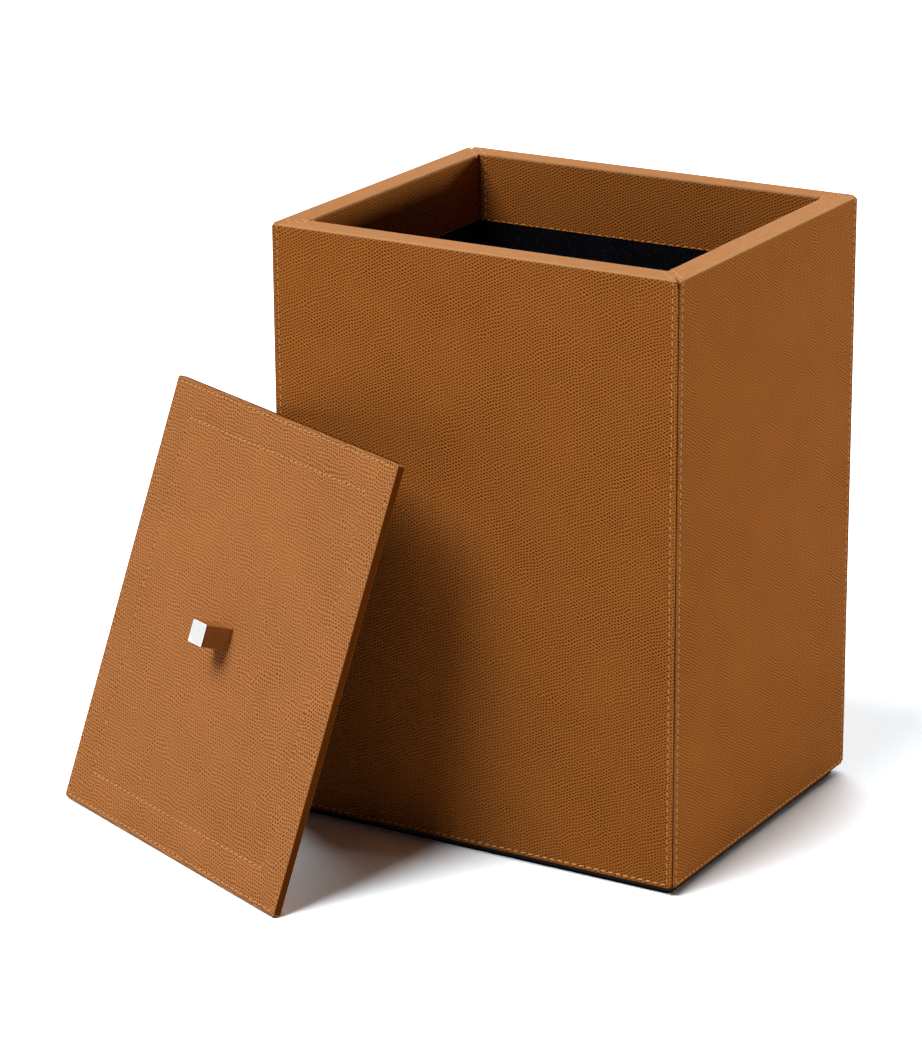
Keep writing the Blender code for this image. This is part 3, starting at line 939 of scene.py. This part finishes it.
class LEATHERBOX_OT_walls(bpy.types.Operator):
    """Dress the four walls in leather, folded over the rim and mitred at the corners"""

    bl_idname = "leatherbox.walls"
    bl_label = "Wall leather"

    def execute(self, context):
        path = SectionPath()
        for number, (side, length, distance, turn) in enumerate(WALLS):
            cover = model_wall_cover(length, path)
            lay_wall_hide(cover, length, path, number * length)
            place(cover, wall_matrix(distance, turn))
            finish_piece(cover, side + "_leather", "box", wall_leather(), [side + "_cover"])
        return {"FINISHED"}


class LEATHERBOX_OT_wall_sewing(bpy.types.Operator):
    """Sew the rows along the corners, the foot, the rim and the band of the four walls"""

    bl_idname = "leatherbox.wall_sewing"
    bl_label = "Wall sewing"

    def execute(self, context):
        path = SectionPath()
        for side, length, distance, turn in WALLS:
            spots = wall_rows(length, path)
            sew(side + "_stitches", "box", spots, wall_matrix(distance, turn))
        return {"FINISHED"}


# Lid

def model_lid_cover():
    """The lid's leather in the lid's own axes: the top, the round edges and the hem under them."""
    size = sizes()
    half_x = LID_WIDTH / 2
    half_y = LID_LENGTH / 2
    cover = add_block(LID_WIDTH, LID_LENGTH, 0, LID_THICKNESS)
    start_editing(cover)
    round_uprights(size.lid_corner, 5)
    round_outline(size.lid_edge, 5)
    pick("FACE", lambda f: f.normal.z < -0.99 and f.calc_area() > LID_WIDTH * LID_LENGTH / 2)
    bpy.ops.mesh.inset(thickness=LID_HEM - size.lid_edge)
    bpy.ops.mesh.delete(type="FACE")
    stop_editing()
    thicken(cover, size.lid_leather)
    start_editing(cover)
    lines = dip_lines(size.lid_row) + dip_lines(size.lid_inner_row)
    for line, _ in lines:
        for side in (-1, 1):
            bisect((side * (half_x - line), 0, 0), (1, 0, 0))
            bisect((0, side * (half_y - line), 0), (0, 1, 0))
    for line, depth in lines:
        if depth == 0:
            continue

        def in_row(vertex):
            on_skin = near(vertex.co.z, LID_THICKNESS) or near(vertex.co.z, 0)
            from_x = half_x - abs(vertex.co.x)
            from_y = half_y - abs(vertex.co.y)
            return on_skin and near(min(from_x, from_y), line)

        pick("VERT", in_row)
        bpy.ops.transform.shrink_fatten(value=-depth)
    stop_editing()
    return cover


def lay_lid_hide(cover):
    """Gives the lid's cover its maps and shares."""
    size = sizes()
    mesh = cover.data
    half_x = LID_WIDTH / 2
    half_y = LID_LENGTH / 2
    hide, seam, grain, dye = add_maps(mesh, "grain", "dye")
    for vertex in mesh.vertices:
        edge = min(half_x - abs(vertex.co.x), half_y - abs(vertex.co.y))
        rise = (1 - LID_EDGE_GRAIN) * edge / size.lid_edge
        grain.data[vertex.index].value = min(1.0, LID_EDGE_GRAIN + rise)
        depth = min(vertex.co.z, LID_THICKNESS - vertex.co.z)
        dye.data[vertex.index].value = min(1.0, depth / size.lid_edge) if edge < 0.0001 else 0.0
    for polygon in mesh.polygons:
        centre = polygon.center
        from_x = half_x - abs(centre.x)
        from_y = half_y - abs(centre.y)
        under = polygon.normal.z < -0.5
        for loop, _, co in face_corners(mesh, polygon):
            side = LID_THICKNESS - co.z
            if abs(polygon.normal.x) > 0.7:
                hide.data[loop].uv = (co.x + math.copysign(side, co.x), co.y)
            elif abs(polygon.normal.y) > 0.7:
                hide.data[loop].uv = (co.x, co.y + math.copysign(side, co.y))
            else:
                hide.data[loop].uv = (co.x + under * LID_LENGTH, co.y)
            seam.data[loop].uv = (0.5, SEAM_FAR)
            for row in (size.lid_row, size.lid_inner_row):
                if abs(min(from_x, from_y) - row) > size.valley_width / 2:
                    continue
                if from_x < from_y:
                    pitch = even_rows(LID_LENGTH - 2 * row)[1]
                    seam.data[loop].uv = ((co.y + half_y - row) / pitch, half_x - abs(co.x) - row)
                else:
                    pitch = even_rows(LID_WIDTH - 2 * row)[1]
                    seam.data[loop].uv = ((co.x + half_x - row) / pitch, half_y - abs(co.y) - row)


def ring_rows(row, z, normal):
    """Spots of a rectangle of stitches at a distance from the lid's edge."""
    x = LID_WIDTH / 2 - row
    y = LID_LENGTH / 2 - row
    corners = [(-x, -y, z), (x, -y, z), (x, y, z), (-x, y, z)]
    spots = []
    sides = zip(corners, corners[1:] + corners[:1], (LID_SHORT_SHARES, LID_LONG_SHARES) * 2)
    for start, end, shares in sides:
        spots += straight_row(start, end, normal, shares)
    return spots


class LEATHERBOX_OT_lid(bpy.types.Operator):
    """Dress the lid in leather, with round edges and a hem underneath"""

    bl_idname = "leatherbox.lid"
    bl_label = "Lid leather"

    def execute(self, context):
        cover = model_lid_cover()
        lay_lid_hide(cover)
        place(cover, LID_MATRIX)
        finish_piece(cover, "lid_leather", "lid", lid_leather(), ["lid_cover"])
        return {"FINISHED"}


class LEATHERBOX_OT_lid_sewing(bpy.types.Operator):
    """Sew the ring near the lid's edge, on both faces, and the rectangle inside it"""

    bl_idname = "leatherbox.lid_sewing"
    bl_label = "Lid sewing"

    def execute(self, context):
        size = sizes()
        spots = ring_rows(size.lid_row, LID_THICKNESS, (0, 0, 1))
        spots += ring_rows(size.lid_inner_row, LID_THICKNESS, (0, 0, 1))
        spots += ring_rows(size.lid_row, 0, (0, 0, -1))
        sew("lid_stitches", "lid", spots, LID_MATRIX)
        return {"FINISHED"}


class LEATHERBOX_OT_knob(bpy.types.Operator):
    """Model the knob's leather sleeve and its polished cap"""

    bl_idname = "leatherbox.knob"
    bl_label = "Knob"

    def execute(self, context):
        size = sizes()
        side = KNOB_HIGH.x - KNOB_LOW.x
        foot = KNOB_LOW.z - LID_LOW.z
        top = KNOB_HIGH.z - LID_LOW.z
        sleeve = add_block(side, side, foot, top)
        start_editing(sleeve)
        pick("FACE", lambda f: abs(f.normal.z) > 0.9)
        bpy.ops.mesh.delete(type="FACE")
        round_uprights(size.knob_corner, 4)
        for share in (0.04, 0.5, 0.96):
            bisect((0, 0, foot + share * (top - foot)), (0, 0, 1))
        stop_editing()
        thicken(sleeve, size.lid_leather)
        lay_knob_hide(sleeve)
        place(sleeve, LID_MATRIX)
        finish_piece(sleeve, "knob_leather", "lid", wall_leather(), ["knob_sleeve"])

        low = CAP_LOW.z - LID_LOW.z
        high = CAP_HIGH.z - LID_LOW.z
        cap = add_block(side, side, low, high)
        start_editing(cap)
        round_uprights(size.knob_corner, 5)
        round_outline(size.cap_bevel, 4)
        stop_editing()
        # Painted shade: the cap's lower half, at its joint with the sleeve, takes the dark lid-edge brown
        joint = cap.data.attributes.new("joint", "FLOAT", "POINT")
        for vertex in cap.data.vertices:
            joint.data[vertex.index].value = 1.0 if vertex.co.z < (low + high) / 2 else 0.0
        place(cap, LID_MATRIX)
        finish_piece(cap, "knob_metal", "lid", polished_chrome(), ["knob_cap"])
        return {"FINISHED"}


def lay_knob_hide(sleeve):
    """Gives the knob's sleeve its maps: the hide wrapped round its four sides, and no row. The leather
    is drawn smooth at the edge that meets the cap, and paler there as a painted highlight on its lip."""
    mesh = sleeve.data
    hide, seam, grain = add_maps(mesh, "grain")
    top = max(vertex.co.z for vertex in mesh.vertices)
    for vertex in mesh.vertices:
        # Painted highlight: the top edge takes the pale stretched colour
        grain.data[vertex.index].value = 0.0 if near(vertex.co.z, top) else KNOB_GRAIN
    for polygon in mesh.polygons:
        for loop, _, co in face_corners(mesh, polygon):
            across = co.y if abs(polygon.normal.x) > abs(polygon.normal.y) else co.x + LID_WIDTH
            hide.data[loop].uv = (across, co.z)
            seam.data[loop].uv = (0.5, SEAM_FAR)


class LEATHERBOX_OT_lining(bpy.types.Operator):
    """Give the walls, the floor pad and the lid's panel their suede"""

    bl_idname = "leatherbox.lining"
    bl_label = "Suede lining"

    def execute(self, context):
        suede = suede_lining()
        for node in (*(side + "_lining" for side, *_ in WALLS), "floor_pad", "panel_cover"):
            set_finish(node, suede)
        return {"FINISHED"}


class LEATHERBOX_OT_base(bpy.types.Operator):
    """Give the base its black paper and its felt"""

    bl_idname = "leatherbox.base"
    bl_label = "Base"

    def execute(self, context):
        # Black kraft paper glued round the board: matt, with faint fibres a few tenths long
        set_finish("base_board", grained_finish("black kraft paper", colours().black_paper, 0.0008, 0.25,
                                                0.00005, Roughness=0.75, Specular_IOR_Level=0.3))
        # Pressed wool felt: no gloss at all, and a woolly surface
        set_finish("base_felt", grained_finish("black wool felt", colours().felt, 0.0012, 0.4,
                                               0.0003, Roughness=1.0, Specular_IOR_Level=0.1))
        return {"FINISHED"}


class LEATHERBOX_OT_inner_parts(bpy.types.Operator):
    """Give the hidden boards and the knob's fixings their finishes"""

    bl_idname = "leatherbox.inner_parts"
    bl_label = "Boards and fixings"

    def execute(self, context):
        # Medium-density fibreboard, cut and left raw: an even tan with pressed fibres
        raw = grained_finish("raw fibreboard", colours().board, 0.0015, 0.12, 0.00008,
                             Roughness=0.85, Specular_IOR_Level=0.3)
        for node in (*(side + "_board" for side, *_ in WALLS), "bottom_board", "lid_board", "panel_board",
                     "knob_core"):
            set_finish(node, raw)
        # Zinc-plated steel: a dull bright metal with the mottle of the bath
        zinc = grained_finish("zinc-plated steel", colours().zinc, 0.001, 0.08, 0.00001,
                              Roughness=0.35, Metallic=1.0)
        for node in ("knob_screw", "knob_washer"):
            set_finish(node, zinc)
        return {"FINISHED"}


def set_finish(node, material):
    """Puts a finish in a frame node's material slots."""
    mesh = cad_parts[node].data
    mesh.materials.clear()
    mesh.materials.append(material)


# Studio

class LEATHERBOX_OT_studio(bpy.types.Operator):
    """Lay the floor, hang the lights and set up the camera"""

    bl_idname = "leatherbox.studio"
    bl_label = "Studio"

    def execute(self, context):
        studio = context.scene.leather_box_studio
        lay_floor()
        light_scene(studio)
        data = bpy.data.cameras.new("studio camera")
        data.sensor_width = 36
        data.lens = studio.lens
        camera = bpy.data.objects.new("studio camera", data)
        context.scene.collection.objects.link(camera)
        camera.location = studio.camera_place
        camera.rotation_euler = (math.pi / 2 - studio.pitch, 0, studio.heading)
        camera.rotation_euler.rotate_axis("Z", studio.roll)
        context.scene.camera = camera
        context.scene.view_settings.view_transform = "Standard"
        return {"FINISHED"}


# How the camera alone sees the floor. The values are above 1, more than real paper reflects, so that the
# lit floor goes white without more light on the object. They are cool to offset, in part, the brown light
# that the leather throws on the floor
FLOOR_SEEN = (1.58, 1.71, 1.78, 1)


def lay_floor():
    """A wide pale floor that stays white where the light falls on it and keeps the shadows."""
    bpy.ops.mesh.primitive_plane_add(size=12)
    floor = bpy.context.object
    floor.name = "studio_floor"
    material = bpy.data.materials.new("white seamless paper")
    material.use_nodes = True
    material.node_tree.nodes.clear()
    add = functools.partial(add_node, material.node_tree)
    ray = add("LightPath").outputs
    mirrored = add("Math", {0: ray["Is Glossy Ray"], 1: ray["Is Transmission Ray"]}, operation="MAXIMUM")
    paper = opaque(colours().floor)
    for share, seen in ((mirrored, (1, 1, 1, 1)), (ray["Is Camera Ray"], FLOOR_SEEN)):
        paper = add("Mix", {"Factor": share, "A": paper, "B": seen}, data_type="RGBA")
    add("OutputMaterial", {"Surface": add("BsdfDiffuse", {"Color": paper})})
    floor.data.materials.append(material)


# Name, setting for the strength, breadth, azimuth from the front towards the left, and height, in degrees
LIGHTS = (
    ("key light", "key", 32, 28, 56),
    ("back light", "back", 60, 160, 42),
    ("right light", "right", 4, -100, 2),
)


def hang_light(name, strength, breadth, azimuth, elevation):
    """A light far away, as broad as it looks from the object."""
    data = bpy.data.lights.new(name, "SUN")
    data.energy = strength
    data.angle = math.radians(breadth)
    lamp = bpy.data.objects.new(name, data)
    bpy.context.scene.collection.objects.link(lamp)
    flat = math.cos(math.radians(elevation))
    height = math.sin(math.radians(elevation))
    around = math.radians(azimuth)
    towards = Vector((-math.sin(around) * flat, -math.cos(around) * flat, height))
    lamp.rotation_euler = towards.to_track_quat("Z", "Y").to_euler()


def light_scene(studio):
    """A broad key light from the front left and above, a broader one behind, a small low one from the
    right, and a little light from all round. What is seen or mirrored of the world is white."""
    for name, setting, *shape in LIGHTS:
        hang_light(name, getattr(studio, setting), *shape)

    world = bpy.data.worlds.new("white studio")
    bpy.context.scene.world = world
    world.use_nodes = True
    world.node_tree.nodes.clear()
    add = functools.partial(add_node, world.node_tree)
    ray = add("LightPath").outputs
    seen = ray["Is Camera Ray"]
    for kind in ("Is Glossy Ray", "Is Transmission Ray"):
        seen = add("Math", {0: seen, 1: ray[kind]}, operation="MAXIMUM")
    strength = add("MapRange", {"Value": seen, "To Min": studio.ambient})
    add("OutputWorld", {"Surface": add("Background", {"Color": (1, 1, 1, 1), "Strength": strength})})


STEPS = ("walls", "wall_sewing", "lid", "lid_sewing", "knob", "lining", "base", "inner_parts", "studio")


class LEATHERBOX_PT_panel(bpy.types.Panel):
    """Lists the steps, the sizes and the colours"""

    bl_idname = "LEATHERBOX_PT_panel"
    bl_label = "Leather Box"
    bl_space_type = "VIEW_3D"
    bl_region_type = "UI"
    bl_category = "Leather Box"

    def draw(self, context):
        for step in STEPS:
            self.layout.operator("leatherbox." + step)
        scene = context.scene
        for group in (scene.leather_box_sizes, scene.leather_box_colours, scene.leather_box_studio):
            box = self.layout.box()
            for name in group.__annotations__:
                box.prop(group, name)


CLASSES = (
    LeatherBoxSizes,
    LeatherBoxColours,
    LeatherBoxStudio,
    LEATHERBOX_OT_walls,
    LEATHERBOX_OT_wall_sewing,
    LEATHERBOX_OT_lid,
    LEATHERBOX_OT_lid_sewing,
    LEATHERBOX_OT_knob,
    LEATHERBOX_OT_lining,
    LEATHERBOX_OT_base,
    LEATHERBOX_OT_inner_parts,
    LEATHERBOX_OT_studio,
    LEATHERBOX_PT_panel,
)


def register():
    """Makes the classes and the scene's settings known."""
    for cls in CLASSES:
        bpy.utils.register_class(cls)
    bpy.types.Scene.leather_box_sizes = bpy.props.PointerProperty(type=LeatherBoxSizes)
    bpy.types.Scene.leather_box_colours = bpy.props.PointerProperty(type=LeatherBoxColours)
    bpy.types.Scene.leather_box_studio = bpy.props.PointerProperty(type=LeatherBoxStudio)


def unregister():
    """Takes the settings and the classes away again."""
    del bpy.types.Scene.leather_box_studio
    del bpy.types.Scene.leather_box_colours
    del bpy.types.Scene.leather_box_sizes
    for cls in reversed(CLASSES):
        bpy.utils.unregister_class(cls)


def main():
    """Runs every step in order."""
    register()
    bpy.ops.object.select_all(action="DESELECT")
    for step in STEPS:
        getattr(bpy.ops.leatherbox, step)()


if __name__ == "__main__":
    main()
